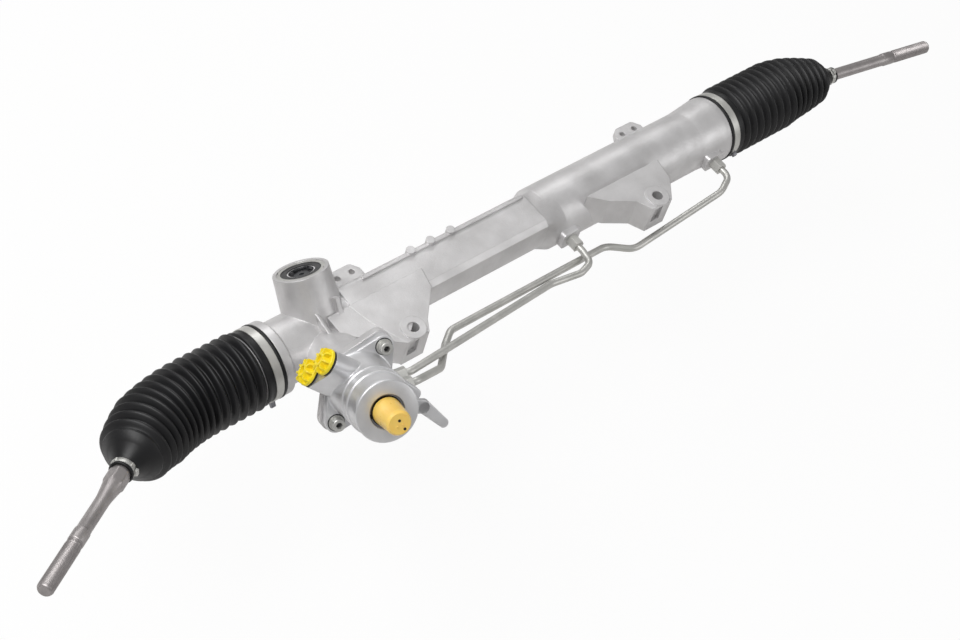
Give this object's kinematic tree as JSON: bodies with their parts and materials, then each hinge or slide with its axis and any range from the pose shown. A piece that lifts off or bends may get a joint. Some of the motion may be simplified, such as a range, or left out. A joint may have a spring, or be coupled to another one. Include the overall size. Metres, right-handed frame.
{
  "type": "steering rack",
  "caption": "Power-assisted rack-and-pinion steering gear: cast housing with valve tower and yoke boss, steel pipes, bellows boots and threaded tie rods.",
  "frame": {"origin": "midpoint between the two mounting ear holes, on the ears' top spot faces", "axes": "+X along the rack towards the hydraulic cylinder end, +Z along the mounting bolts upwards, the valve tower on the -Y side"},
  "size_m": [1.3736, 0.2603, 0.1983],
  "materials": {
    "cast_alloy": "satin sand and die cast, lightly rough",
    "machined_alloy": "turned, fine tool marks",
    "zinc_steel": "zinc plated, satin",
    "rod_steel": "forged and turned, light oil",
    "ground_steel": "ground, bright",
    "spring_steel": "tempered, dark",
    "black_steel": "black, satin",
    "boot_rubber": "moulded, satin",
    "seal_rubber": "moulded",
    "bush_bronze": "sintered",
    "slide_plastic": "natural",
    "yellow_plastic": "moulded",
    "amber_plastic": "moulded, slightly translucent",
    "grey_plastic": "moulded"
  },
  "bodies": {
    "housing": {"rack_housing": "cast_alloy", "valve_housing": "machined_alloy", "valve_screws": "zinc_steel", "screw_washers": "zinc_steel", "yoke": "machined_alloy", "yoke_spring": "spring_steel", "yoke_plug": "black_steel", "yoke_plug_ring": "ground_steel", "yoke_sight_cap": "grey_plastic", "yoke_lock_ring": "zinc_steel", "yoke_o_ring": "seal_rubber", "pinion_needle_bearing": "ground_steel", "bearing_outer_ring": "ground_steel", "bearing_lock_ring": "zinc_steel", "bearing_balls": "ground_steel", "pinion_bottom_cap": "zinc_steel", "pinion_seal": "seal_rubber", "shaft_needle_bearing": "ground_steel", "shaft_seal": "seal_rubber", "snap_ring": "spring_steel", "rack_inner_bush": "bush_bronze", "rack_inner_seal": "seal_rubber", "rack_outer_seal": "seal_rubber", "rack_outer_bush": "bush_bronze", "cylinder_end_ring": "zinc_steel", "front_pipe": "zinc_steel", "rear_pipe": "zinc_steel", "valve_tube_nuts": "zinc_steel", "cylinder_tube_nuts": "zinc_steel", "near_boot": "boot_rubber", "far_boot": "boot_rubber", "near_big_clamp": "zinc_steel", "far_big_clamp": "zinc_steel"},
    "rack": {"rack_bar": "ground_steel", "piston": "machined_alloy", "piston_ring": "slide_plastic", "near_ball_socket": "rod_steel", "far_ball_socket": "rod_steel"},
    "pinion": {"pinion": "ground_steel", "pinion_nut": "zinc_steel", "bearing_inner_ring": "ground_steel", "valve_sleeve": "ground_steel", "valve_rings": "slide_plastic", "torsion_bar": "spring_steel"},
    "input_shaft": {"input_shaft": "ground_steel"},
    "shaft_cap": {"shaft_cap": "amber_plastic"},
    "lower_port_cap": {"lower_port_cap": "yellow_plastic"},
    "upper_port_cap": {"upper_port_cap": "yellow_plastic"},
    "near_seat": {"near_ball_seat": "slide_plastic"},
    "near_rod": {"near_tie_rod": "rod_steel", "near_small_clamp": "zinc_steel"},
    "far_seat": {"far_ball_seat": "slide_plastic"},
    "far_rod": {"far_tie_rod": "rod_steel", "far_small_clamp": "zinc_steel"}
  },
  "joints": [
    {"name": "rack_travel", "type": "slide", "parent": "housing", "child": "rack", "axis": [1, 0, 0], "range_m": [-0.075, 0.075], "deforming": ["near_boot", "far_boot"]},
    {"name": "pinion_spin", "type": "hinge", "parent": "housing", "child": "pinion", "pos_m": [-0.24, 0.05542, -0.05668], "axis": [-0.284, -0.7556, 0.5903], "range_deg": [-495, 495]},
    {"name": "input_twist", "type": "hinge", "parent": "pinion", "child": "input_shaft", "pos_m": [-0.24, 0.05542, -0.05668], "axis": [-0.284, -0.7556, 0.5903], "range_deg": [-4, 4], "stiffness_Nm_per_rad": 90},
    {"name": "shaft_cap_pull", "type": "slide", "parent": "input_shaft", "child": "shaft_cap", "axis": [-0.284, -0.7556, 0.5903], "range_m": [0, 0.045]},
    {"name": "lower_port_cap_pull", "type": "slide", "parent": "housing", "child": "lower_port_cap", "axis": [-0.678, 0.5936, 0.4336], "range_m": [0, 0.025]},
    {"name": "upper_port_cap_pull", "type": "slide", "parent": "housing", "child": "upper_port_cap", "axis": [-0.678, 0.5936, 0.4336], "range_m": [0, 0.025]},
    {"name": "near_ball_lift", "type": "hinge", "parent": "rack", "child": "near_seat", "pos_m": [-0.437, 0.0665, -0.0425], "axis": [0, -0.8931, 0.4498], "range_deg": [-18, 18], "deforming": ["near_boot"]},
    {"name": "near_ball_swing", "type": "hinge", "parent": "near_seat", "child": "near_rod", "pos_m": [-0.437, 0.0665, -0.0425], "axis": [0, 0.4498, 0.8931], "range_deg": [-58, 2], "deforming": ["near_boot"]},
    {"name": "far_ball_lift", "type": "hinge", "parent": "rack", "child": "far_seat", "pos_m": [0.467, 0.0665, -0.0425], "axis": [0, -0.9196, -0.3928], "range_deg": [-25, 25], "deforming": ["far_boot"]},
    {"name": "far_ball_swing", "type": "hinge", "parent": "far_seat", "child": "far_rod", "pos_m": [0.467, 0.0665, -0.0425], "axis": [0, 0.3928, -0.9196], "range_deg": [-25, 25], "deforming": ["far_boot"]}
  ],
  "couplings": [
    {"joint": "pinion_spin", "follows": "rack_travel", "rad_per_m": -114.15}
  ]
}
